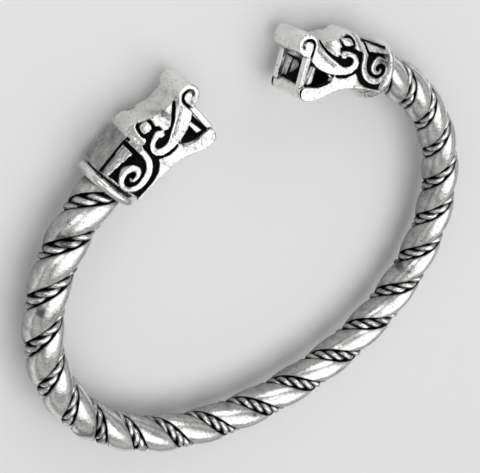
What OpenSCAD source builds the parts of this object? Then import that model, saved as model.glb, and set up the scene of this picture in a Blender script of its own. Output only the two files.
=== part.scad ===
// Open arm ring: a band of two smooth and two finely twisted strands laid round each other,
// with a ferrule and a cast beast's head at each end. Millimetres, lying flat, +Z up.

/* [Ring] */
// Mean radius from the middle of the ring to the middle of the band
ring_r = 33; // [31:0.5:36]
// How much wider than its mean radius the ring is on each side
ring_oval = 2.3; // [0:0.1:3]
// Half of the opening at the front, from its middle to where the band runs straight
gap_half = 44; // [43:0.5:46]

/* [Band] */
// Length of band in which the strands go once round
lay_pitch = 16.11; // [15:0.01:18]
// Radius of the band over the crown of a smooth strand
band_r = 3; // [2.8:0.05:3]
// Radius of each pair of fine wires
pair_r = 0.92; // [0.8:0.02:0.94]
// Length of a pair in which its two wires go once round each other
pair_pitch = 4.4; // [4:0.1:6]
// Play left between neighbouring strands
strand_gap = 0.12; // [0.1:0.01:0.15]

/* [Ferrules] */
// Outer radius of the ferrule
ferrule_r = 4.25; // [4:0.05:4.4]
// Width of the ferrule along the band
ferrule_w = 1.35; // [1.2:0.05:1.4]
// Radius of the hole that the strands pass through
socket_r = 3.12; // [3.12:0.01:3.2]

/* [Heads] */
// How far each head is turned outwards about its own length
head_lean = 8; // [0:0.5:10]
// Half of the head's width from the neck to the cheeks
cheek_half = 4.75; // [4.6:0.05:4.9]
// Half of the head's width at the tip of the snout
snout_half = 3.1; // [3:0.05:3.2]
// Height of the relief over the dark ground
relief = 0.5; // [0.4:0.05:0.55]
// Radius of the rolled upper lip
lip_r = 1.5; // [1.4:0.05:1.6]

/* [Hidden] */

// Silver, darker in the fine wires
bright = [0.80, 0.80, 0.80];
dull = [0.55, 0.55, 0.56];

// The ring's middle lies a little behind the middle of the whole outline
ring_y = 1.35;
// Height of the ring's middle plane over the surface that the heads lie on
mid_z = 4.97;

// Places along a head, from where the band starts to run straight towards the snout
ferrule_x = 1.05;
sleeve_x = 2.5;
neck_x = 3.1;
socket_end = 4.1;
band_end = 3.55;
brow_x = 8.9;
snout_x = 17.8;

// The strands' turn where the hidden pair stands, and how unevenly the hand-laid band turns
pair_phase = 58;
lay_drift = [88.6, -65.6, -177.6];
// Slight flattening of the oval
ring_square = 0.115;

rings_per_lay = 15;
rings_per_pair = 6;

// Curved path of the band, by its angle round the ring from the middle of the opening
function unit(v) = v / norm(v);
function radial(a) = [sin(a), -cos(a), 0];
function ring_radius(a) = ring_r - ring_oval * cos(2 * a) - ring_square * cos(4 * a);
function ring_slope(a) = 2 * ring_oval * sin(2 * a) + 4 * ring_square * sin(4 * a);
function along(a) = unit(ring_radius(a) * [cos(a), sin(a), 0] + ring_slope(a) * radial(a));
function outward(a) = [along(a)[1], -along(a)[0], 0];
function bounded(a) = min(max(a, gap_half), 360 - gap_half);
function past_end(a) = (a - bounded(a)) * PI / 180 * ring_r;
function centre(a) = let (b = bounded(a))
    [0, ring_y, mid_z] + ring_radius(b) * radial(b) + past_end(a) * along(b);

// Length of band from the back of the ring
oval_gain = ring_oval * ring_oval / ring_r;
function run(a) = let (b = bounded(a))
    (ring_r + oval_gain) * (b - 180) * PI / 180 - ring_oval / 2 * sin(2 * b)
    - (ring_square + oval_gain) / 4 * sin(4 * b) + past_end(a);
half_run = run(360 - gap_half);
function drift(u) = u * (lay_drift[0] + u * (lay_drift[1] + u * lay_drift[2]));
function lay_angle(a) = pair_phase + drift(run(a) / half_run) - 360 * run(a) / lay_pitch;
function spoke(a, angle) = cos(angle) * outward(bounded(a)) + [0, 0, sin(angle)];
end_angle = band_end / ring_r * 180 / PI;
first_a = gap_half - end_angle;
last_a = 360 - first_a;
band_length = 2 * half_run + 2 * band_end;

// Faces of a skin over rings of points, with both ends closed
function skin_faces(rings, sides) = concat(
    [[for (j = [0 : sides - 1]) j]],
    [for (i = [0 : rings - 2], j = [0 : sides - 1])
        let (k = (j + 1) % sides) [i * sides + j, (i + 1) * sides + j, (i + 1) * sides + k]],
    [for (i = [0 : rings - 2], j = [0 : sides - 1])
        let (k = (j + 1) % sides) [i * sides + j, (i + 1) * sides + k, i * sides + k]],
    [[for (j = [sides - 1 : -1 : 0]) (rings - 1) * sides + j]]);

// Outline of a smooth strand as seen along the band: across, then away from the band's middle
pair_at = band_r - pair_r - 0.16;
pair_room = pair_r + strand_gap;
pair_stretch = 1.24;
function crown(angle) = (band_r - 0.36 * pow(abs(angle) / 58, 2.4)) * [sin(angle), cos(angle)];
function flank(angle, side) = [side * (pair_at - pair_room * cos(angle)),
                               pair_stretch * pair_room * sin(angle)];
smooth_outline = concat(
    [for (t = [-58 : 29 : 58]) crown(t)],
    [for (t = [74, 34, 6]) flank(t, 1)],
    [[0, pair_stretch * pair_room * sin(6)]],
    [for (t = [6, 34, 74]) flank(t, -1)]);

module smooth_strand(turn) {
    rings = ceil(band_length / lay_pitch * rings_per_lay);
    sides = len(smooth_outline);
    points = [for (i = [0 : rings - 1])
        let (a = first_a + (last_a - first_a) * i / (rings - 1), f = lay_angle(a) + turn)
        for (p = smooth_outline) centre(a) + p[1] * spoke(a, f) + p[0] * spoke(a, f + 90)];
    color(bright) polyhedron(points, skin_faces(rings, sides));
}

// Outline of a pair of fine wires side by side, as angle and radius
pair_outline = [for (t = [0 : 60 : 300]) [t, t % 180 == 0 ? pair_r : pair_r * 0.62]];

module twisted_wire(turn) {
    rings = ceil(band_length * 1.22 / pair_pitch * rings_per_pair);
    slope = 2 * PI * pair_at / lay_pitch;
    points = [for (i = [0 : rings - 1])
        let (a = first_a + (last_a - first_a) * i / (rings - 1),
             f = lay_angle(a) + turn,
             out = spoke(a, f),
             side = (spoke(a, f + 90) + slope * along(bounded(a))) / sqrt(1 + slope * slope))
        for (p = pair_outline)
            let (g = p[0] - i * 360 / rings_per_pair)
            centre(a) + (pair_at + p[1] * cos(g)) * out + p[1] * sin(g) * side];
    color(dull) polyhedron(points, skin_faces(rings, len(pair_outline)));
}

module smooth_strand_1() { smooth_strand(90); }
module smooth_strand_2() { smooth_strand(270); }
module twisted_wire_1() { twisted_wire(0); }
module twisted_wire_2() { twisted_wire(180); }

// Puts a piece that is drawn along +X, with +Y away from the wrist, at the right-hand end
module at_band_end() {
    forward = -along(gap_half);
    translate(centre(gap_half)) rotate([0, 0, atan2(forward[1], forward[0])])
        rotate([-head_lean, 0, 0]) children();
}

module along_x(x, length, r) {
    translate([x, 0, 0]) rotate([0, 90, 0]) cylinder(h = length, r = r, $fn = 72);
}

// Plain half-round ring that binds the strands' ends
module ferrule() {
    bead = ferrule_w / 2;
    color(bright) at_band_end() translate([ferrule_x + bead, 0, 0]) rotate([0, 90, 0])
        rotate_extrude($fn = 72) intersection() {
            translate([ferrule_r - bead, 0]) union() {
                circle(r = bead, $fn = 32);
                translate([-bead, -bead]) square([bead, ferrule_w]);
            }
            translate([socket_r, -bead]) square([ferrule_r, ferrule_w]);
        }
}
module ferrule_left() { mirror([1, 0, 0]) ferrule(); }
module ferrule_right() { ferrule(); }

// Curve through a row of points, each with a width, and the ribbon that follows it
curve_steps = 4;
function knot(p, i) = p[min(max(i, 0), len(p) - 1)];
function blend(a, b, c, d, t) =
    0.5 * (2 * b + (c - a) * t + (2 * a - 5 * b + 4 * c - d) * t * t + (3 * b - a - 3 * c + d) * t * t * t);
function curve(p) = concat(
    [for (i = [0 : len(p) - 2], s = [0 : curve_steps - 1])
        blend(knot(p, i - 1), p[i], p[i + 1], knot(p, i + 2), s / curve_steps)],
    [p[len(p) - 1]]);
function flat(v) = [v[0], v[1]];
function left_of(v) = [-v[1], v[0]] / norm(v);
function edge(c, side) = [for (i = [0 : len(c) - 1])
    flat(c[i]) + side * c[i][2] / 2 * left_of(flat(knot(c, i + 1) - knot(c, i - 1)))];
function reversed(c) = [for (i = [len(c) - 1 : -1 : 0]) c[i]];
function ribbon(p) = let (c = curve(p)) concat(edge(c, 1), reversed(edge(c, -1)));

// Band that falls from the brow and rolls up into the scroll at the back of the head
brow_band = [[9.2, 4.4, 0.85], [8.8, 3.4, 0.85], [8.65, 2.2, 0.75], [8.5, 1.2, 0.75],
    [8.1, 0.1, 0.85]];
back_scroll = concat(brow_band, [[7.2, -0.8, 0.95], [5.9, -1.15, 1], [4.5, -0.9, 0.9],
    [3.8, 0, 0.8], [3.8, 1, 0.75], [4.5, 1.7, 0.8], [5.6, 1.9, 0.95], [6.45, 1.4, 1],
    [6.6, 0.6, 0.9], [6, 0.1, 0.7], [5.25, 0.1, 0.55], [4.95, 0.5, 0.45], [5.3, 0.85, 0.35]]);

// Cheek band, from its hook under the eye round and forward to the curl of the lip
cheek_band = [[11.7, 0.65, 0.5], [11.45, 1.1, 0.65], [10.85, 1.25, 0.7], [10.15, 0.95, 0.8],
    [9.8, 0.2, 0.85], [9.95, -0.6, 1], [10.7, -1.05, 1.3], [11.9, -0.9, 1.85],
    [13.4, -0.6, 2.35], [14.9, -0.15, 2.85], [16.2, 0.35, 3.1], [16.9, 0.6, 2.9]];
lip_mid = [17.35, 0.6];
lip_groove = [[16.7, -1.1, 0.35], [16.5, -0.3, 0.35], [16.65, 0.6, 0.35], [17.35, 1.2, 0.35],
    [18.1, 0.95, 0.35], [18.25, 0.25, 0.35], [17.8, -0.25, 0.3]];

// Plate that carries the eye, between the brow band and the cheek band
eye_plate = [[9, 6], [9, 2.9], [9.05, 2], [9.25, 1.3], [9.6, 1.5], [10.2, 1.8], [10.9, 1.9],
    [11.7, 1.65], [12.15, 1.05], [12.7, 0.8], [13.6, 1.1], [14.5, 1.7], [15.3, 2.4], [16, 6]];
eye_at = [11, 2.42];
eye_r = 0.62;

// Side outline of the skull, and of the open jaw below it
skull = [[8.4, 3.75], [9, 4.1], [9.6, 4.15], [10.4, 3.8], [11.4, 3.1], [12.6, 2.4],
    [13.8, 1.9], [14.8, 1.7], [15.6, 1.75], [16.6, 2], [16.9, -0.9], [15.2, -1.5], [14, -1.8],
    [12.6, -1.9], [12, -2.4], [8.4, -2.6]];
jaw = [[8.4, -1.2], [11.9, -1.6], [12, -2.4], [12.1, -2.95], [12.6, -3.5], [13.6, -4.25],
    [14.8, -4.6], [16, -5.2], [15.55, -6.75], [14.7, -6.45], [13.6, -5.95], [12.5, -5.2],
    [11.3, -4.2], [10.1, -3.35], [9, -2.85], [8.4, -2.7]];

// Width of the face at stations along it: the place, then height and half width at the edge of
// the forehead, below the eye, at the top of the cheek, and the half width of the cheek below
face_stations = [
    [8.4, [4.2, 2.3], [3.1, 3.5], [1.9, 4.6], 4.75],
    [9.4, [4.6, 1.6], [3.3, 3.1], [1.9, 4.4], 4.7],
    [11.2, [3.8, 1.7], [2.45, 3.1], [1, 4.15], 4.4],
    [12.6, [3.1, 1.7], [1.75, 2.9], [0.5, 3.85], 4.15],
    [14, [2.5, 1.7], [1.3, 2.75], [0.3, 3.55], 3.85],
    [15.6, [2.5, 2.1], [1.6, 2.75], [0.6, 3.3], 3.5],
    [17, [2.8, 2.8], [2.2, 2.9], [1.9, 3.1], 3.25],
    [20, [2.8, 2.6], [2.2, 2.65], [1.9, 2.7], 2.7]];
function half_ring(s, less) = [
    [s[0], s[1][0], s[1][1] - less],
    [s[0], s[2][0] - less * 0.6, s[2][1] - less * 0.8],
    [s[0], s[3][0] - less * 0.4, s[3][1] - less],
    [s[0], -9, s[4] - less]];
function mirrored(p) = [for (i = [len(p) - 1 : -1 : 0]) [p[i][0], p[i][1], -p[i][2]]];

module face_space(less) {
    points = [for (s = face_stations, p = concat(half_ring(s, less), mirrored(half_ring(s, less)))) p];
    polyhedron(points, skin_faces(len(face_stations), 8));
}

module plate(outline, half) {
    linear_extrude(2 * half, center = true) polygon(outline);
}

// Bar along the head with a cross-section given as height over the middle, then half width
module bar_along(x, length, section) {
    other_side = [for (i = [len(section) - 1 : -1 : 0]) [section[i][0], -section[i][1]]];
    translate([x, 0, 0]) rotate([90, 0, 90]) linear_extrude(length)
        polygon(concat(section, other_side));
}

// Neck with a flat top plate, a wedge on each shoulder and the scroll on each side
module neck() {
    skin = [[3.75, 2.44], [1.9, cheek_half], [-1.9, cheek_half], [-2.7, 4]];
    ground = [[3.2, 2.2], [1.6, cheek_half - relief], [-1.9, cheek_half - relief], [-2.4, 3.7]];
    long = brow_x - neck_x;
    along_x(sleeve_x, 2, 3.8);
    bar_along(neck_x, long, ground);
    bar_along(neck_x, 8.4 - neck_x, [[3.75, 2.44], [2.9, 2.44]]);
    intersection() {
        bar_along(neck_x, long, skin);
        difference() {
            union() {
                plate(ribbon(back_scroll), 6);
                plate([[neck_x, 3.1], [7.8, 3.3], [7.65, 2.35]], 6);
                plate([[neck_x, -2.7], [neck_x, -1.95], [6, -2.25], [8.9, -1.9], [8.9, -2.7]], 6);
            }
            cube([40, 20, 5], center = true);
        }
    }
}

module eye() {
    translate([eye_at[0], eye_at[1], 0]) cylinder(h = 12, r = eye_r, center = true, $fn = 24);
}

module face() {
    intersection() {
        face_space(relief);
        union() {
            plate(skull, 6);
            plate(jaw, 6);
        }
    }
    intersection() {
        face_space(0);
        union() {
            difference() {
                intersection() {
                    plate(eye_plate, 6);
                    plate(skull, 6);
                }
                difference() {
                    translate([eye_at[0], eye_at[1], 0])
                        cylinder(h = 12, r = eye_r + 0.32, center = true, $fn = 32);
                    eye();
                    cube([40, 20, 4], center = true);
                }
            }
            difference() {
                plate(ribbon(brow_band), 6);
                plate([[7, 4.1], [11, 4.1], [11, 6], [7, 6]], 7);
            }
            plate(ribbon(cheek_band), 6);
            plate(jaw, 6);
        }
    }
}

// Rolled lip across the snout, with a curl on each end
module lip() {
    inner = snout_half - relief;
    translate([lip_mid[0], lip_mid[1], 0])
        cylinder(h = 2 * inner, r = lip_r, center = true, $fn = 48);
    difference() {
        intersection() {
            face_space(0);
            translate([lip_mid[0], lip_mid[1], 0])
                cylinder(h = 12, r = lip_r, center = true, $fn = 48);
        }
        difference() {
            plate(ribbon(lip_groove), 6);
            cube([40, 20, 2 * inner], center = true);
        }
    }
}

module fangs() {
    tooth_z = 2.05;
    for (side = [0, 1]) mirror([0, 0, side]) {
        translate([0, 0, tooth_z]) linear_extrude(0.9)
            polygon([[16.1, -0.8], [17, -0.7], [16.3, -5.4], [15.5, -5.2]]);
        translate([0, 0, tooth_z]) linear_extrude(0.7)
            polygon([[14.2, -4.3], [15, -4.8], [14.9, -1.4], [14.55, -1.4]]);
    }
}

module head() {
    color(bright) at_band_end() difference() {
        union() {
            neck();
            face();
            lip();
            fangs();
        }
        along_x(sleeve_x - 1, socket_end - sleeve_x + 1, socket_r);
    }
}
module head_left() { mirror([1, 0, 0]) head(); }
module head_right() { head(); }

smooth_strand_1();
smooth_strand_2();
twisted_wire_1();
twisted_wire_2();
ferrule_left();
ferrule_right();
head_left();
head_right();
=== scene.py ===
# An open arm ring of twisted silver, with a beast's head on each end, lying flat on a pale surface.
# It is put together in the order of the real one: strands, twisted wires, ferrules, heads, teeth.
import math
import random

import bpy
from mathutils import Euler, Matrix, Vector, noise
from mathutils.bvhtree import BVHTree


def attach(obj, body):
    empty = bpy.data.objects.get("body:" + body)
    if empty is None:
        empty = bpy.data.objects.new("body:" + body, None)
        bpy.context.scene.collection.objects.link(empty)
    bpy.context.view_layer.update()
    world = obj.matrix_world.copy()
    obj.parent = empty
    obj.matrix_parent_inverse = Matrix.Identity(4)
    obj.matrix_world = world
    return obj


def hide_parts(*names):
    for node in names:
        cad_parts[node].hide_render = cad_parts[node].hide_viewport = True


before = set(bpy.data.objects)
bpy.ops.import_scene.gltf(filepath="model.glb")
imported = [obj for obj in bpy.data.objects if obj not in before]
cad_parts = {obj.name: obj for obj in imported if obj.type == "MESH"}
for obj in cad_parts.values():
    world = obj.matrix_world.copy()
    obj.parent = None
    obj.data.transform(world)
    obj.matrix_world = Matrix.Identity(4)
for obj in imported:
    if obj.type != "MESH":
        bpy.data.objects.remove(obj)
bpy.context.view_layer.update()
bpy.ops.object.select_all(action="DESELECT")

# Smooth strands
# Two thick strands of silver rod, forged to a rounded back and hollow sides, and laid round each
# other in a slow right-hand turn. The fine wires lie in the two furrows between them.
mm = 0.001

# The ring is an oval, open at the front by twice gap_half. Its sizes are in millimetres.
ring_r = 33.0
ring_oval = 2.3
ring_square = 0.115
ring_y = 1.35
mid_z = 4.97
gap_half = math.radians(44)
oval_gain = ring_oval**2 / ring_r

# The band turns once in lay_pitch, a little unevenly, and runs on straight inside the heads
band_r = 3.0
band_end = 3.55
lay_pitch = 16.11
lay_start = 58
lay_drift = (88.6, -65.6, -177.6)

# Each furrow is as wide as a pair of fine wires and a little play
pair_r = 0.92
pair_sunk = 0.16
strand_play = 0.09
pair_at = band_r - pair_r - pair_sunk
pair_room = pair_r + strand_play
pair_stretch = 1.24


def radial(a):
    return Vector((math.sin(a), -math.cos(a), 0))


def ring_radius(a):
    return ring_r - ring_oval * math.cos(2 * a) - ring_square * math.cos(4 * a)


def along(a):
    slope = 2 * ring_oval * math.sin(2 * a) + 4 * ring_square * math.sin(4 * a)
    forward = Vector((math.cos(a), math.sin(a), 0))
    return (ring_radius(a) * forward + slope * radial(a)).normalized()


def outward(a):
    forward = along(a)
    return Vector((forward.y, -forward.x, 0))


def bounded(a):
    return min(max(a, gap_half), 2 * math.pi - gap_half)


def centre(a):
    b = bounded(a)
    middle = Vector((0, ring_y, mid_z))
    return middle + ring_radius(b) * radial(b) + (a - b) * ring_r * along(b)


def run(a):
    b = bounded(a)
    turned = (ring_r + oval_gain) * (b - math.pi) - ring_oval / 2 * math.sin(2 * b)
    return turned - (ring_square + oval_gain) / 4 * math.sin(4 * b) + (a - b) * ring_r


half_run = run(2 * math.pi - gap_half)
first_a = gap_half - band_end / ring_r
last_a = 2 * math.pi - first_a


def lay_angle(a):
    u = run(a) / half_run
    drift = u * (lay_drift[0] + u * (lay_drift[1] + lay_drift[2] * u))
    return math.radians(lay_start + drift - 360 * run(a) / lay_pitch)


def spoke(a, angle):
    return math.cos(angle) * outward(bounded(a)) + Vector((0, 0, math.sin(angle)))


# A strand's outline: the crown of the back, and a hollow flank on each side
crown_edge = 58
crown_drop = 0.36
crown_fall = 2.4
crown_steps = 12
flank_angles = (76, 60, 42, 24, 8)


def crown(degrees):
    reach = band_r - crown_drop * (abs(degrees) / crown_edge) ** crown_fall
    t = math.radians(degrees)
    return (reach * math.sin(t), reach * math.cos(t))


def flank(degrees, side):
    t = math.radians(degrees)
    across = side * (pair_at - pair_room * math.cos(t))
    return (across, pair_stretch * pair_room * math.sin(t))


crown_angles = [-crown_edge + 2 * crown_edge * i / crown_steps for i in range(crown_steps + 1)]
strand_outline = [crown(t) for t in crown_angles]
strand_outline += [flank(t, 1) for t in flank_angles]
strand_outline += [flank(t, -1) for t in flank_angles[::-1]]
strand_rings = 460
hammer_depth = 0.03
hammer_grain = 0.45
back_from = 1.3
soft_edge = math.radians(50)
weld = 1e-6


def close_ends(piece):
    bpy.context.view_layer.objects.active = piece
    bpy.ops.object.mode_set(mode="EDIT")
    bpy.ops.mesh.select_all(action="SELECT")
    bpy.ops.mesh.remove_doubles(threshold=weld)
    bpy.ops.mesh.fill_holes(sides=0)
    bpy.ops.mesh.select_all(action="SELECT")
    bpy.ops.mesh.normals_make_consistent(inside=False)
    bpy.ops.object.mode_set(mode="OBJECT")


def laid_strand(name, turn):
    columns = len(strand_outline)
    bpy.ops.object.select_all(action="DESELECT")
    bpy.ops.mesh.primitive_grid_add(x_subdivisions=columns, y_subdivisions=strand_rings, size=1)
    piece = bpy.context.object
    piece.name = name
    for vertex in piece.data.vertices:
        column = round((vertex.co.x + 0.5) * columns) % columns
        a = first_a + (last_a - first_a) * (vertex.co.y + 0.5)
        f = lay_angle(a) + math.radians(turn)
        across, out = strand_outline[column]
        place = centre(a) + out * spoke(a, f) + across * spoke(a, f + math.pi / 2)
        beaten = hammer_depth * noise.noise(place * hammer_grain) if out > back_from else 0
        vertex.co = (place - max(beaten, 0) * spoke(a, f)) * mm
    close_ends(piece)
    bpy.ops.object.shade_smooth_by_angle(angle=soft_edge)
    return piece


smooth_strands = [laid_strand("smooth_strand_a", 90), laid_strand("smooth_strand_b", 270)]

# The silver is polished on its high parts, and the black that it was dipped in stays wherever a
# polishing wheel can't reach. Each piece carries that as an attribute, wear_and_shade, which on the
# band and the heads also holds painted shade.
ray_count = 32
golden = math.pi * (3 - math.sqrt(5))
rays = []
for i in range(ray_count):
    level = 1 - 2 * (i + 0.5) / ray_count
    rim = math.sqrt(1 - level * level)
    rays.append(Vector((rim * math.cos(golden * i), rim * math.sin(golden * i), level)))
ray_lift = 0.03 * mm
grazing = 0.08
far_share = 0.35


def tree_of(pieces):
    corners = []
    faces = []
    for piece in pieces:
        start = len(corners)
        corners += [vertex.co.copy() for vertex in piece.data.vertices]
        faces += [[start + k for k in face.vertices] for face in piece.data.polygons]
    return BVHTree.FromPolygons(corners, faces)


def openness(piece, tree, reach):
    values = []
    for vertex in piece.data.vertices:
        start = vertex.co + vertex.normal * ray_lift
        clear = 0.0
        total = 0.0
        for ray in rays:
            facing = ray.dot(vertex.normal)
            if facing > grazing:
                total += facing
                hit = tree.ray_cast(start, ray, reach)
                if hit[0] is None:
                    clear += facing
                else:
                    clear += facing * far_share * hit[3] / reach
        values.append(clear / max(total, 0.001))
    return values


def set_wear_and_shade(piece, values):
    wear_and_shade = piece.data.attributes.new("wear_and_shade", "FLOAT", "POINT")
    wear_and_shade.data.foreach_set("value", values)


def ease(value, low, high):
    t = min(max((value - low) / (high - low), 0), 1)
    return t * t * (3 - 2 * t)


def grey_ramp(nodes, stops, warmth=1.0):
    ramp = nodes.new("ShaderNodeValToRGB")
    elements = ramp.color_ramp.elements
    elements[0].position = stops[0][0]
    elements[1].position = stops[-1][0]
    for where, grey in stops[1:-1]:
        elements.new(where)
    for element, (where, grey) in zip(elements, stops):
        element.color = (grey, grey, grey * warmth, 1)
    return ramp


# The wear_and_shade value up to dark_until is black and from bright_from it is polished, to the
# roughness gloss
def silver_finish(name, dark_until, bright_from, gloss):
    finish = bpy.data.materials.new(name)
    finish.use_nodes = True
    nodes = finish.node_tree.nodes
    links = finish.node_tree.links
    shader = nodes["Principled BSDF"]
    shader.inputs["Metallic"].default_value = 1
    place = nodes.new("ShaderNodeTexCoord")

    def speckle(scale, detail, stretch=None):
        grain = nodes.new("ShaderNodeTexNoise")
        grain.inputs["Scale"].default_value = scale
        grain.inputs["Detail"].default_value = detail
        if stretch:
            squeeze = nodes.new("ShaderNodeMapping")
            squeeze.inputs["Scale"].default_value = stretch
            squeeze.inputs["Rotation"].default_value = (0.5, 0.9, 0.7)
            links.new(place.outputs["Object"], squeeze.inputs["Vector"])
            links.new(squeeze.outputs["Vector"], grain.inputs["Vector"])
        else:
            links.new(place.outputs["Object"], grain.inputs["Vector"])
        return grain.outputs["Fac"]

    def times_plus(value, factor, base):
        step = nodes.new("ShaderNodeMath")
        step.operation = "MULTIPLY_ADD"
        step.inputs[1].default_value = factor
        links.new(value, step.inputs[0])
        if isinstance(base, float):
            step.inputs[2].default_value = base
        else:
            links.new(base, step.inputs[2])
        return step.outputs["Value"]

    def toned(value, *stops):
        ramp = grey_ramp(nodes, stops, 0.995)
        links.new(value, ramp.inputs["Fac"])
        return ramp.outputs["Color"]

    # The wear_and_shade value, patina with some painted shade, broken up by fine pits and by a wider
    # clouding
    wear_and_shade = nodes.new("ShaderNodeAttribute")
    wear_and_shade.attribute_name = "wear_and_shade"
    pits = speckle(900, 5)
    clouding = speckle(190, 3)
    uneven = times_plus(pits, 0.3, times_plus(wear_and_shade.outputs["Fac"], 1.0, -0.1))
    uneven = times_plus(clouding, 0.16, uneven)
    middle = (dark_until + bright_from) / 2
    silver_tone = toned(
        uneven, (dark_until, 0.008), (middle, 0.24), (bright_from, 0.64), (1.12, 0.86)
    )

    # Stains of the black, and short scratches, over the polish
    stain_tone = toned(speckle(260, 5, (1, 1, 0.5)), (0.3, 0.25), (0.37, 0.8), (0.46, 1.0))
    scratch_tone = toned(speckle(3200, 3), (0.3, 0.5), (0.42, 0.95), (0.6, 1.0))
    colour = silver_tone
    for layer in (stain_tone, scratch_tone):
        mix = nodes.new("ShaderNodeMix")
        mix.data_type = "RGBA"
        mix.blend_type = "MULTIPLY"
        mix.inputs["Factor"].default_value = 1
        links.new(colour, mix.inputs["A"])
        links.new(layer, mix.inputs["B"])
        colour = mix.outputs["Result"]
    links.new(colour, shader.inputs["Base Color"])

    # The black is dull, and the polish has a fine uneven surface
    rough = nodes.new("ShaderNodeMapRange")
    rough.inputs["From Min"].default_value = dark_until
    rough.inputs["From Max"].default_value = bright_from
    rough.inputs["To Min"].default_value = 0.65
    rough.inputs["To Max"].default_value = gloss
    links.new(uneven, rough.inputs["Value"])
    links.new(rough.outputs["Result"], shader.inputs["Roughness"])
    bump = nodes.new("ShaderNodeBump")
    bump.inputs["Strength"].default_value = 0.5
    bump.inputs["Distance"].default_value = 0.00007
    links.new(times_plus(speckle(420, 2), 2.0, speckle(1900, 4)), bump.inputs["Height"])
    links.new(bump.outputs["Normal"], shader.inputs["Normal"])
    return finish


silver = silver_finish("silver", dark_until=0.48, bright_from=0.99, gloss=0.26)
for piece, node in zip(smooth_strands, ("smooth_strand_1", "smooth_strand_2")):
    piece.data.materials.append(silver)
    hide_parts(node)
    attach(piece, "root")

# Twisted wires
# Two pairs of fine round silver wire. Each pair is twisted tightly, then laid in a furrow of the
# band, so that it shows as a row of slanting beads. The black lies deep between its turns.
wire_r = 0.5
wire_off = pair_r - wire_r
pair_pitch = 4.4
wire_rings = 1050

# A wire is longer than the band that it winds round, and its turns are counted in sixths
winding_length = 1.22
sixths = 6


def laid_pair(name, turn):
    slope = 2 * math.pi * pair_at / lay_pitch
    steps = math.ceil(2 * (half_run + band_end) * winding_length / pair_pitch * sixths)
    turns = (steps - 1) / sixths
    wires = []
    for phase in (0, math.pi):
        bpy.ops.object.select_all(action="DESELECT")
        bpy.ops.curve.primitive_nurbs_path_add()
        wire = bpy.context.object
        wire.data.splines.clear()
        spline = wire.data.splines.new("POLY")
        spline.points.add(wire_rings - 1)
        for i, point in enumerate(spline.points):
            t = i / (wire_rings - 1)
            a = first_a + (last_a - first_a) * t
            f = lay_angle(a) + math.radians(turn)
            out = spoke(a, f)
            side = (spoke(a, f + math.pi / 2) + slope * along(bounded(a))).normalized()
            g = phase - 2 * math.pi * turns * t
            place = centre(a) + (pair_at + wire_off * math.cos(g)) * out
            place += wire_off * math.sin(g) * side
            point.co = (*(place * mm), 1)
        wire.data.dimensions = "3D"
        wire.data.bevel_depth = wire_r * mm
        wire.data.bevel_resolution = 3
        wire.data.use_fill_caps = True
        bpy.ops.object.convert(target="MESH")
        wires.append(bpy.context.object)
    bpy.ops.object.select_all(action="DESELECT")
    for wire in wires:
        wire.select_set(True)
    bpy.context.view_layer.objects.active = wires[0]
    bpy.ops.object.join()
    piece = bpy.context.object
    piece.name = name
    close_ends(piece)
    bpy.ops.object.shade_smooth_by_angle(angle=soft_edge)
    return piece


twisted_wires = [laid_pair("twisted_wire_a", 0), laid_pair("twisted_wire_b", 180)]
wire_silver = silver_finish("wire_silver", dark_until=0.5, bright_from=0.98, gloss=0.22)
for piece, node in zip(twisted_wires, ("twisted_wire_1", "twisted_wire_2")):
    piece.data.materials.clear()
    piece.data.materials.append(wire_silver)
    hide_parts(node)
    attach(piece, "root")

# Ferrules
# A plain half-round ring of silver, pressed over the ends of the strands and soldered. Its edge
# towards the head is nicked all round where it was chased tight against the casting.
ferrule_r = 4.42
ferrule_w = 1.35
ferrule_x = 1.05
ferrule_steps = 132
socket_r = 3.12
bead = ferrule_w / 2

# Where the band ends: x runs on from it, y away from the wrist, and each head leans outwards
head_lean = math.radians(-8)
forward = -along(gap_half)
head_turn = Matrix.Rotation(math.atan2(forward.y, forward.x), 4, "Z")
head_place = (
    Matrix.Scale(mm, 4)
    @ Matrix.Translation(centre(gap_half))
    @ head_turn
    @ Matrix.Rotation(head_lean, 4, "X")
)


def mirrored_copy(piece, name):
    bpy.ops.object.select_all(action="DESELECT")
    piece.select_set(True)
    bpy.context.view_layer.objects.active = piece
    bpy.ops.object.duplicate()
    twin = bpy.context.object
    twin.name = name
    twin.data.name = name
    twin.data.transform(Matrix.Diagonal((-1, 1, 1, 1)))
    bpy.ops.object.mode_set(mode="EDIT")
    bpy.ops.mesh.select_all(action="SELECT")
    bpy.ops.mesh.normals_make_consistent(inside=False)
    bpy.ops.object.mode_set(mode="OBJECT")
    return twin


# The lower half of a round becomes a square foot that reaches down to the strands, and the
# profile is spun round the band
bpy.ops.object.select_all(action="DESELECT")
bpy.ops.mesh.primitive_circle_add(vertices=32, radius=bead, location=(0, 0, 0))
ferrule_right = bpy.context.object
ferrule_right.name = "ferrule_ring_right"
for vertex in ferrule_right.data.vertices:
    x = vertex.co.x
    height = ferrule_r - bead + vertex.co.y
    if vertex.co.y < -0.1:
        x = math.copysign(bead, x) if abs(x) > 0.01 else 0
        height = socket_r
    vertex.co = (ferrule_x + bead + x, height, 0)
bpy.ops.object.mode_set(mode="EDIT")
bpy.ops.mesh.select_all(action="SELECT")
bpy.ops.mesh.spin(steps=ferrule_steps, angle=2 * math.pi, center=(0, 0, 0), axis=(1, 0, 0))
bpy.ops.mesh.select_all(action="SELECT")
bpy.ops.mesh.remove_doubles(threshold=0.0001)
bpy.ops.mesh.normals_make_consistent(inside=False)
bpy.ops.object.mode_set(mode="OBJECT")

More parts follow.
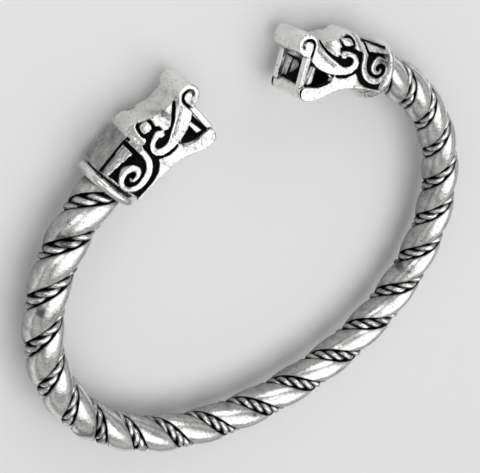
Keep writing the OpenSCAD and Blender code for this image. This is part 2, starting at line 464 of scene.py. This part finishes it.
nicks = random.Random(5)
nick_deepest = 0.32
nick_every = 3
nick_from = ferrule_x + ferrule_w * 0.72
nick_width = ferrule_w * 0.28
nick_floor = socket_r + 0.2
nick_depth = [
    nicks.uniform(0.0, nick_deepest) if i % nick_every == 0 else 0.0 for i in range(ferrule_steps)
]
for vertex in ferrule_right.data.vertices:
    turned = math.atan2(vertex.co.z, vertex.co.y) / (2 * math.pi) * ferrule_steps
    near_head = (vertex.co.x - nick_from) / nick_width
    height = math.hypot(vertex.co.y, vertex.co.z)
    if near_head > 0 and height > nick_floor:
        cut = nick_depth[round(turned) % ferrule_steps] * near_head
        vertex.co.y *= (height - cut) / height
        vertex.co.z *= (height - cut) / height
bpy.ops.object.shade_smooth_by_angle(angle=math.radians(40))
ferrule_right.data.transform(head_place)
ferrule_left = mirrored_copy(ferrule_right, "ferrule_ring_left")
for piece, node in ((ferrule_right, "ferrule_right"), (ferrule_left, "ferrule_left")):
    piece.data.materials.append(silver)
    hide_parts(node)
    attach(piece, "root")

# The band's sides and underside are painted darker than its top, as painted shade, and the
# ferrules stand out and are bright all round
band_reach = 1.5 * mm
band_side_painted_shade = 0.3
side_from = 0.75
ferrule_reach = 1.0 * mm
ferrule_gain = 1.15
band_tree = tree_of(smooth_strands + twisted_wires + [ferrule_right, ferrule_left])
for piece in smooth_strands + twisted_wires:
    values = openness(piece, band_tree, band_reach)
    for i, vertex in enumerate(piece.data.vertices):
        # Painted shade: the colour is darkened where the band turns away from straight up, on its
        # sides and underside
        values[i] *= 1 - band_side_painted_shade * ease(side_from - vertex.normal.z, 0, side_from)
    set_wear_and_shade(piece, values)
for piece in (ferrule_right, ferrule_left):
    values = openness(piece, band_tree, ferrule_reach)
    set_wear_and_shade(piece, [min(ferrule_gain * value, 1) for value in values])

# Heads
# Each head is one casting: a boxy neck with a flat plate on top and a scroll on each side, a
# beast's face with eyes, cheek scrolls and a rolled lip, and a wide open jaw with four teeth.
# Outlines are drawn in millimetres from the side: x from the band to the snout, y away from the
# wrist, and z across the head. A ribbon's points have its width as a third number.
side_end = 6


def both_sides(inner, outer=side_end):
    return ((inner, outer), (-outer, -inner))


def slab(outline, low, high):
    bpy.ops.object.select_all(action="DESELECT")
    bpy.ops.mesh.primitive_circle_add(vertices=len(outline), radius=1, fill_type="NGON")
    piece = bpy.context.object
    for vertex, point in zip(piece.data.vertices, outline):
        vertex.co = (point[0], point[1], low)
    bpy.ops.object.mode_set(mode="EDIT")
    bpy.ops.mesh.select_all(action="SELECT")
    bpy.ops.mesh.extrude_region_move(TRANSFORM_OT_translate={"value": (0, 0, high - low)})
    bpy.ops.mesh.select_all(action="SELECT")
    bpy.ops.mesh.normals_make_consistent(inside=False)
    bpy.ops.object.mode_set(mode="OBJECT")
    return piece


def through(outline, reach=side_end):
    return slab(outline, -reach, reach)


def trim(piece, tool, how, keep_tool=False):
    bpy.ops.object.select_all(action="DESELECT")
    bpy.context.view_layer.objects.active = piece
    piece.select_set(True)
    cut = piece.modifiers.new("trim", "BOOLEAN")
    cut.operation = how
    cut.solver = "EXACT"
    cut.use_self = True
    cut.object = tool
    bpy.ops.object.modifier_apply(modifier="trim")
    if not keep_tool:
        bpy.data.objects.remove(tool)
    return piece


def within(piece, space):
    return trim(piece, space, "INTERSECT", keep_tool=True)


def blend_four(a, b, c, d, t):
    return 0.5 * (
        2 * b + (c - a) * t + (2 * a - 5 * b + 4 * c - d) * t * t + (3 * b - a - 3 * c + d) * t**3
    )


def flowing(points, steps=6):
    rows = [Vector(p) for p in points]
    out = []
    for i in range(len(rows) - 1):
        four = (rows[max(i - 1, 0)], rows[i], rows[i + 1], rows[min(i + 2, len(rows) - 1)])
        out += [blend_four(*four, s / steps) for s in range(steps)]
    return out + [rows[-1]]


def flowing_outline(points):
    return [(p.x, p.y) for p in flowing([(*p, 0) for p in points], 4)]


def ribbon(points):
    line = flowing(points)
    sides = ([], [])
    for i, p in enumerate(line):
        step = line[min(i + 1, len(line) - 1)] - line[max(i - 1, 0)]
        left = Vector((-step.y, step.x)).normalized() * p.z / 2
        sides[0].append((p.x + left.x, p.y + left.y))
        sides[1].append((p.x - left.x, p.y - left.y))
    return sides[0] + sides[1][::-1]


def bar_along(start, end, section):
    outline = section + [(y, -z) for y, z in section[::-1]]
    piece = slab(outline, start, end)
    piece.data.transform(Matrix(((0, 0, 1, 0), (1, 0, 0, 0), (0, 1, 0, 0), (0, 0, 0, 1))))
    return piece


def round_bar(x, y, r, half, sides=48):
    bpy.ops.object.select_all(action="DESELECT")
    bpy.ops.mesh.primitive_cylinder_add(vertices=sides, radius=r, depth=2 * half, location=(x, y, 0))
    bpy.ops.object.transform_apply(location=True)
    return bpy.context.object


relief = 0.5
cheek_half = 4.75
snout_half = 3.1
neck_x = 2.75
brow_x = 8.5

# Cross-sections of the face: x, then height and half width at crown, shoulder and cheek, and the
# half width far below
face_stations = [
    (8.4, (4.2, 1.9), (3.1, 3.26), (1.9, 4.7), 4.8),
    (9.4, (4.6, 1.6), (3.3, 3.1), (1.9, 4.4), 4.7),
    (11.2, (3.8, 1.7), (2.45, 3.1), (1.0, 4.15), 4.4),
    (12.6, (3.1, 1.7), (1.75, 2.9), (0.5, 3.85), 4.15),
    (14.0, (2.5, 1.7), (1.3, 2.75), (0.3, 3.55), 3.85),
    (15.6, (2.5, 2.1), (1.6, 2.75), (0.6, 3.3), 3.5),
    (17.0, (2.8, 2.8), (2.2, 2.9), (1.9, 3.1), 3.25),
    (20.0, (2.8, 2.6), (2.2, 2.65), (1.9, 2.7), 2.7),
]
far_below = -9


def face_space(less):
    rows = flowing([(s[0], *s[1], *s[2], *s[3], s[4]) for s in face_stations], 4)
    bpy.ops.object.select_all(action="DESELECT")
    bpy.ops.mesh.primitive_circle_add(vertices=8, radius=1, fill_type="NGON")
    piece = bpy.context.object
    bpy.ops.object.mode_set(mode="EDIT")
    bpy.ops.mesh.select_all(action="SELECT")
    for i in range(len(rows) - 1):
        bpy.ops.mesh.extrude_region_move(TRANSFORM_OT_translate={"value": (0, 0, 1)})
    bpy.ops.object.mode_set(mode="OBJECT")
    for n, vertex in enumerate(piece.data.vertices):
        row = rows[n // 8]
        half = [
            (row[1], row[2] - less),
            (row[3] - less * 0.6, row[4] - less * 0.8),
            (row[5] - less * 0.4, row[6] - less),
            (far_below, row[7] - less),
        ]
        ring = half + [(y, -z) for y, z in half[::-1]]
        vertex.co = (row[0], *ring[n % 8])
    bpy.context.view_layer.objects.active = piece
    bpy.ops.object.mode_set(mode="EDIT")
    bpy.ops.mesh.select_all(action="SELECT")
    bpy.ops.mesh.normals_make_consistent(inside=False)
    bpy.ops.object.mode_set(mode="OBJECT")
    return piece


# Bands and scrolls: one falls from the brow and rolls up at the back, one frames the cheek
brow_band = [
    (8.9, 4.4, 0.9), (8.45, 3.4, 0.95), (8.25, 2.2, 0.9), (8.1, 1.15, 0.9), (7.65, 0.0, 0.95),
]
back_scroll = brow_band + [
    (6.7, -0.9, 1.0), (5.3, -1.25, 1.0), (3.95, -1.0, 0.9), (3.2, -0.1, 0.8), (3.2, 0.9, 0.75),
    (3.85, 1.6, 0.8), (4.95, 1.8, 0.95), (5.8, 1.3, 1.0), (5.95, 0.5, 0.9), (5.4, 0.0, 0.7),
    (4.65, 0.0, 0.55), (4.35, 0.4, 0.45), (4.65, 0.75, 0.35),
]
cheek_band = [
    (11.4, 0.35, 0.8), (11.42, 0.82, 0.85), (11.0, 1.14, 0.75), (10.3, 1.16, 0.72), (9.65, 0.98, 0.8),
    (9.25, 0.4, 0.85), (9.4, -0.4, 0.95), (10.1, -1.0, 1.1), (11.3, -1.3, 1.35), (12.8, -1.2, 2.1),
    (14.3, -0.8, 2.6), (15.6, -0.1, 2.8), (16.6, 0.4, 2.8),
]
cheek_line = [
    (11.2, -0.95, 0.2), (12.8, -0.8, 0.32), (14.3, -0.25, 0.34), (15.7, 0.5, 0.3), (16.5, 1.2, 0.2),
]
cheek_groove = [
    (12.6, 0.0, 0.4), (13.6, 0.3, 0.38), (14.5, 0.75, 0.36), (15.4, 1.35, 0.34), (16.1, 2.05, 0.3),
]

# The upper lip rolls up round a bar, and a groove curls into it on each side
lip_at = (17.4, 0.5)
lip_r = 1.6
lip_groove = [
    (16.3, -1.5, 0.34), (16.35, -0.3, 0.32), (16.4, 0.5, 0.3), (16.7, 1.05, 0.32),
    (17.3, 1.25, 0.34), (17.95, 0.95, 0.32), (18.2, 0.4, 0.3), (17.9, 0.0, 0.28),
    (17.5, -0.05, 0.25),
]

# The plate that the eye is cut into, and the skull behind it
eye_plate = [
    (8.6, 6.0), (8.6, 2.9), (8.75, 2.1), (9.2, 2.0), (9.8, 2.05), (10.6, 2.1), (11.4, 2.0),
    (11.95, 1.5), (12.05, 0.7), (12.4, 0.25), (13.0, 0.25), (13.8, 0.6), (14.6, 1.05),
    (15.5, 1.65), (16.2, 2.4), (16.2, 6.0),
]
eye_at = Vector((10.8, 2.58))
eye_tilt = math.radians(-22)
eye_squareness = 0.65
eye_socket = (1.14, 0.84)
eye_ball = (0.78, 0.46)
skull_top = [
    (8.4, 3.75), (9.0, 4.1), (9.6, 4.15), (10.4, 3.8), (11.4, 3.1), (12.6, 2.4), (13.8, 1.9),
    (14.8, 1.7), (15.6, 1.75), (16.6, 2.0),
]
skull = flowing_outline(skull_top) + [
    (17.0, -1.0), (16.2, -1.45), (15.2, -2.0), (14.0, -2.3), (12.7, -2.4), (12.0, -2.8), (8.4, -2.8),
]

# The open jaw, with a crease that sets off the bar along its front
jaw_rear = [
    (6.0, -2.5), (7.3, -2.1), (8.2, -1.5), (8.7, -0.9), (9.15, -1.4), (9.9, -1.98), (11.0, -2.28),
    (11.9, -2.35),
]
jaw_edge = [
    (12.0, -2.5), (12.1, -3.15), (12.6, -3.75), (13.6, -4.4), (14.8, -4.75), (15.6, -4.95),
    (16.02, -5.45), (15.95, -6.1), (15.45, -6.72), (14.7, -6.8), (13.6, -6.35), (12.5, -5.55),
    (11.3, -4.55), (10.1, -3.75), (9.0, -3.3), (7.5, -3.1), (6.0, -3.1),
]
jaw = jaw_rear + flowing_outline(jaw_edge)
jaw_crease = [
    (15.3, -4.7), (15.35, -5.0), (15.5, -5.5), (15.42, -5.95), (15.05, -6.25), (14.7, -6.3),
    (14.8, -7.5), (17.0, -7.5), (17.0, -4.75),
]

# The boxy neck: its cross-section as height and half width, and its outline from the side
neck_skin = [(3.75, 2.44), (1.9, cheek_half), (-3.3, cheek_half), (-3.9, 4.1)]
neck_ground = [(3.2, 2.2), (1.6, cheek_half - relief), (-2.3, cheek_half - relief), (-2.8, 3.7)]
neck_side = [(2.0, 4.5), (9.5, 4.5), (9.5, -3.4), (8.4, -3.15), (6.0, -2.75), (2.0, -2.45)]
neck_plate = [(3.75, 2.44), (3.45, 2.5), (2.9, 2.2)]
neck_wedge = [(neck_x, 3.25), (7.4, 3.42), (7.25, 2.35), (neck_x, 2.8)]
neck_base = [(2.0, -4), (2.0, -2.15), (6.0, -2.4), (7.3, -2.1), (8.2, -1.5), (8.5, -1.2), (8.5, -4)]


def fused(pieces, voxel, rounds):
    bpy.ops.object.select_all(action="DESELECT")
    for piece in pieces:
        piece.select_set(True)
    bpy.context.view_layer.objects.active = pieces[0]
    bpy.ops.object.join()
    piece = bpy.context.object
    remesh = piece.modifiers.new("cast", "REMESH")
    remesh.mode = "VOXEL"
    remesh.voxel_size = voxel
    bpy.ops.object.modifier_apply(modifier="cast")
    soften = piece.modifiers.new("soften", "SMOOTH")
    soften.factor = 0.5
    soften.iterations = rounds
    bpy.ops.object.modifier_apply(modifier="soften")
    return piece


def across_x(piece, x):
    piece.data.transform(Matrix.Translation((x, 0, 0)) @ Matrix.Rotation(math.pi / 2, 4, "Y"))
    return piece


def neck_sleeve():
    bpy.ops.mesh.primitive_cylinder_add(vertices=72, radius=3.8, depth=2)
    return across_x(bpy.context.object, 3.5)


def eye_shape(size):
    turn = Matrix.Rotation(eye_tilt, 2)
    points = []
    for i in range(36):
        t = i * math.pi / 18
        wide = math.copysign(abs(math.cos(t)) ** eye_squareness, math.cos(t))
        high = math.copysign(abs(math.sin(t)) ** eye_squareness, math.sin(t))
        points.append(tuple(eye_at + turn @ Vector((size[0] * wide, size[1] * high))))
    return points


# The dark ground of the casting, which the polishing never touches
outer_face = face_space(0)
ground_face = face_space(relief)
outer_neck = trim(bar_along(neck_x, brow_x, neck_skin), through(neck_side), "INTERSECT")
parts = [
    within(bar_along(neck_x, brow_x, neck_ground), outer_neck),
    within(through(skull), ground_face),
    within(through(jaw), ground_face),
    neck_sleeve(),
]

# The raised plates and scrolls of the neck
parts.append(bar_along(neck_x, brow_x, neck_plate))
for outline in (ribbon(back_scroll), neck_wedge):
    for low, high in both_sides(2.5):
        parts.append(within(slab(outline, low, high), outer_neck))
parts.append(within(through(neck_base), outer_neck))

# The raised parts of the face: eyes, cheeks, jaw, the band from the brow, and the rolled lip
plate = trim(through(eye_plate), through(skull, 7), "INTERSECT")
for low, high in both_sides(1.6):
    trim(plate, slab(eye_shape(eye_socket), low, high), "DIFFERENCE")
    trim(plate, slab(ribbon(cheek_groove), low, high), "DIFFERENCE")
parts.append(within(plate, outer_face))
for low, high in both_sides(1.6):
    parts.append(within(slab(eye_shape(eye_ball), low, high), outer_face))
cheek = through(ribbon(cheek_band))
for low, high in both_sides(2.0, 7):
    trim(cheek, slab(ribbon(cheek_groove), low, high), "DIFFERENCE")
within(cheek, outer_face)
shallow_face = face_space(0.3)
line_tool = trim(through(ribbon(cheek_line)), shallow_face, "DIFFERENCE", keep_tool=True)
trim(cheek, line_tool, "DIFFERENCE")
lower_jaw = within(through(jaw), outer_face)
for low, high in both_sides(2.85, 3.25):
    trim(lower_jaw, slab(jaw_crease, low, high), "DIFFERENCE")
parts.append(lower_jaw)
for low, high in both_sides(1.8):
    falling = trim(slab(ribbon(brow_band), low, high), through(skull, 7), "INTERSECT")
    parts.append(within(falling, outer_face))
curled = within(round_bar(*lip_at, lip_r, side_end), outer_face)
for low, high in both_sides(snout_half - relief):
    for piece in (curled, cheek):
        trim(piece, slab(ribbon(lip_groove), low, high), "DIFFERENCE")
parts += [curled, cheek]
parts.append(round_bar(*lip_at, lip_r, snout_half - relief))
head_right = fused(parts, 0.12, 4)
head_right.name = "beast_head_right"

# A cast surface is never quite flat
normals = [vertex.normal.copy() for vertex in head_right.data.vertices]
for vertex, normal in zip(head_right.data.vertices, normals):
    uneven = noise.noise(vertex.co * 1.1) + 0.5 * noise.noise(vertex.co * 2.7)
    vertex.co += normal * (0.03 * uneven - 0.03)

# What a polishing wheel reaches: the outline that the relief was cut back from
wheel_parts = [
    outer_neck,
    neck_sleeve(),
    within(through(skull), outer_face),
    within(through(jaw), outer_face),
    within(round_bar(*lip_at, lip_r, side_end), outer_face),
]
wheel_outline = fused(wheel_parts, 0.2, 1)
wheel_tree = tree_of([wheel_outline])
trim(head_right, across_x(round_bar(0, 0, socket_r, 2), 1.7), "DIFFERENCE")
for spare in (outer_face, ground_face, shallow_face, wheel_outline):
    bpy.data.objects.remove(spare)

mouth_from = 11.7
mouth_to = 15.75
mouth_roof = -0.9
mouth_floor = -5.0
mouth_half = 3.25
plate_low = 3.25
neck_end = 8.4
snout_tip = 17.9


# No wheel gets into the mouth. The outer faces are darker, most of all the neck's, partly as a greyer
# satin polish and partly as painted shade; the sides and the front get a little painted shade.
def polish_and_painted_shade(place, normal):
    x, y, z = place
    floor = max(mouth_floor, -3.9 - 0.8 * (x - mouth_from))
    in_mouth = mouth_from < x < mouth_to and floor < y < mouth_roof and abs(z) < mouth_half
    plate_edge = x < brow_x and y > plate_low and abs(normal.z) > 0.55
    if in_mouth or plate_edge:
        return 0.3 if abs(z) > 2.9 else 0.12
    # Painted shade: faces turned outward, forward or flat to the side are darkened in the colour by
    # their direction; the outward part is partly a satin polish
    outer_satin_and_shade = 0.45 if x < neck_end else 0.2
    outer_satin_and_shade *= ease(normal.y, 0.72, 0.95) * ease(snout_tip - x, -1.5, 2.0)
    front_painted_shade = 0.2 * ease(normal.x, 0.4, 0.9)
    head_side_painted_shade = 0.1 * ease(abs(normal.z), 0.8, 1)
    return 1 - outer_satin_and_shade - front_painted_shade - head_side_painted_shade


depths = [wheel_tree.find_nearest(vertex.co)[3] for vertex in head_right.data.vertices]
polish_and_shade_tones = [polish_and_painted_shade(vertex.co, vertex.normal) for vertex in head_right.data.vertices]
bpy.context.view_layer.objects.active = head_right
bpy.ops.object.shade_smooth()
head_right.data.transform(head_place)
near_open = openness(head_right, tree_of([head_right, ferrule_right]), 1.6 * mm)
values = []
for depth, polish_and_shade, near in zip(depths, polish_and_shade_tones, near_open):
    on_outline = 1 - ease(depth, 0.15, 0.42)
    values.append(min(on_outline, ease(near, 0.25, 0.85)) * polish_and_shade)
set_wear_and_shade(head_right, values)
head_right.data.materials.clear()
head_left = mirrored_copy(head_right, "beast_head_left")
head_silver = silver_finish("head_silver", dark_until=0.36, bright_from=0.82, gloss=0.24)
for piece, node in ((head_right, "head_right"), (head_left, "head_left")):
    piece.data.materials.append(head_silver)
    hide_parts(node)
    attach(piece, "root")

# Teeth
# Two square fangs and two small teeth behind them on each head, part of the casting. They stand
# between lip and jaw and are filed flat.
fang = [(16.1, -0.8), (17.0, -0.7), (16.3, -5.4), (15.5, -5.2)]
small_tooth = [(14.2, -4.3), (15.0, -4.8), (14.9, -1.4), (14.55, -1.4)]
tooth_z = 2.05
teeth = []
for outline, width in ((fang, 0.9), (small_tooth, 0.7)):
    for low, high in both_sides(tooth_z, tooth_z + width):
        teeth.append(slab(outline, low, high))
teeth_right = fused(teeth, 0.09, 2)
teeth_right.name = "teeth_right"
bpy.ops.object.shade_smooth()
teeth_right.data.transform(head_place)
teeth_right.data.materials.clear()
set_wear_and_shade(teeth_right, openness(teeth_right, tree_of([head_right, teeth_right]), 0.8 * mm))
teeth_left = mirrored_copy(teeth_right, "teeth_left")
for piece, node in ((teeth_right, "head_right"), (teeth_left, "head_left")):
    piece.data.materials.append(silver)
    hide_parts(node)
    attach(piece, "root")

# Pale surface
# The ring lies on a wide, matt, nearly white sheet, which isn't part of it.
bpy.ops.object.select_all(action="DESELECT")
bpy.ops.mesh.primitive_plane_add(size=4)
surface = bpy.context.object
surface.name = "surface"
paper = bpy.data.materials.new("paper")
paper.use_nodes = True
paper_shader = paper.node_tree.nodes["Principled BSDF"]
paper_shader.inputs["Base Color"].default_value = (0.86, 0.86, 0.86, 1)
paper_shader.inputs["Roughness"].default_value = 0.9
surface.data.materials.append(paper)

# Soft light
# Three round sheets of light, far behind, beside the camera and low in front, in a surround that
# is bright overhead and dim lower down, so that the silver has something dark to mirror.
light_aim = Vector((0, 0, 0.005))


def soft_light(name, place, size, brightness):
    light = bpy.data.lights.new(name, "AREA")
    light.shape = "DISK"
    light.size = size
    light.energy = brightness * math.pi * math.pi * size * size / 4
    lamp = bpy.data.objects.new(name, light)
    lamp.location = place
    lamp.rotation_euler = (light_aim - Vector(place)).to_track_quat("-Z", "Y").to_euler()
    bpy.context.scene.collection.objects.link(lamp)


soft_light("far", (-0.3, 0.38, 0.63), 0.45, 1.05)
soft_light("camera_side", (0.6, -0.5, 0.5), 0.4, 1.6)
soft_light("front", (-0.29, -0.66, 0.32), 0.62, 1.3)
sky_tones = (
    (0.02, 0.12), (0.12, 0.2), (0.3, 0.55), (0.5, 0.5), (0.62, 0.2), (0.74, 0.28), (0.86, 1.3),
    (1.0, 1.4),
)
world = bpy.data.worlds.new("surround")
world.use_nodes = True
backdrop = world.node_tree.nodes["Background"]
compass = world.node_tree.nodes.new("ShaderNodeTexCoord")
height = world.node_tree.nodes.new("ShaderNodeSeparateXYZ")
sky = grey_ramp(world.node_tree.nodes, sky_tones)
world.node_tree.links.new(compass.outputs["Generated"], height.inputs["Vector"])
world.node_tree.links.new(height.outputs["Z"], sky.inputs["Fac"])
world.node_tree.links.new(sky.outputs["Color"], backdrop.inputs["Color"])
bpy.context.scene.world = world

# Camera
# At the photograph's angle: in front, to the right and above, and turned over on its side, with
# the photograph's field of view.
camera_turn = (-37.2665, -32.6581, 174.6943)
lens = bpy.data.cameras.new("camera")
lens.lens = 95.67
lens.sensor_width = 36
camera = bpy.data.objects.new("camera", lens)
camera.location = (0.071818, -0.124173, 0.13)
camera.rotation_euler = Euler([math.radians(t) for t in camera_turn], "XYZ")
bpy.context.scene.collection.objects.link(camera)
bpy.context.scene.camera = camera
bpy.context.scene.view_settings.view_transform = "Standard"
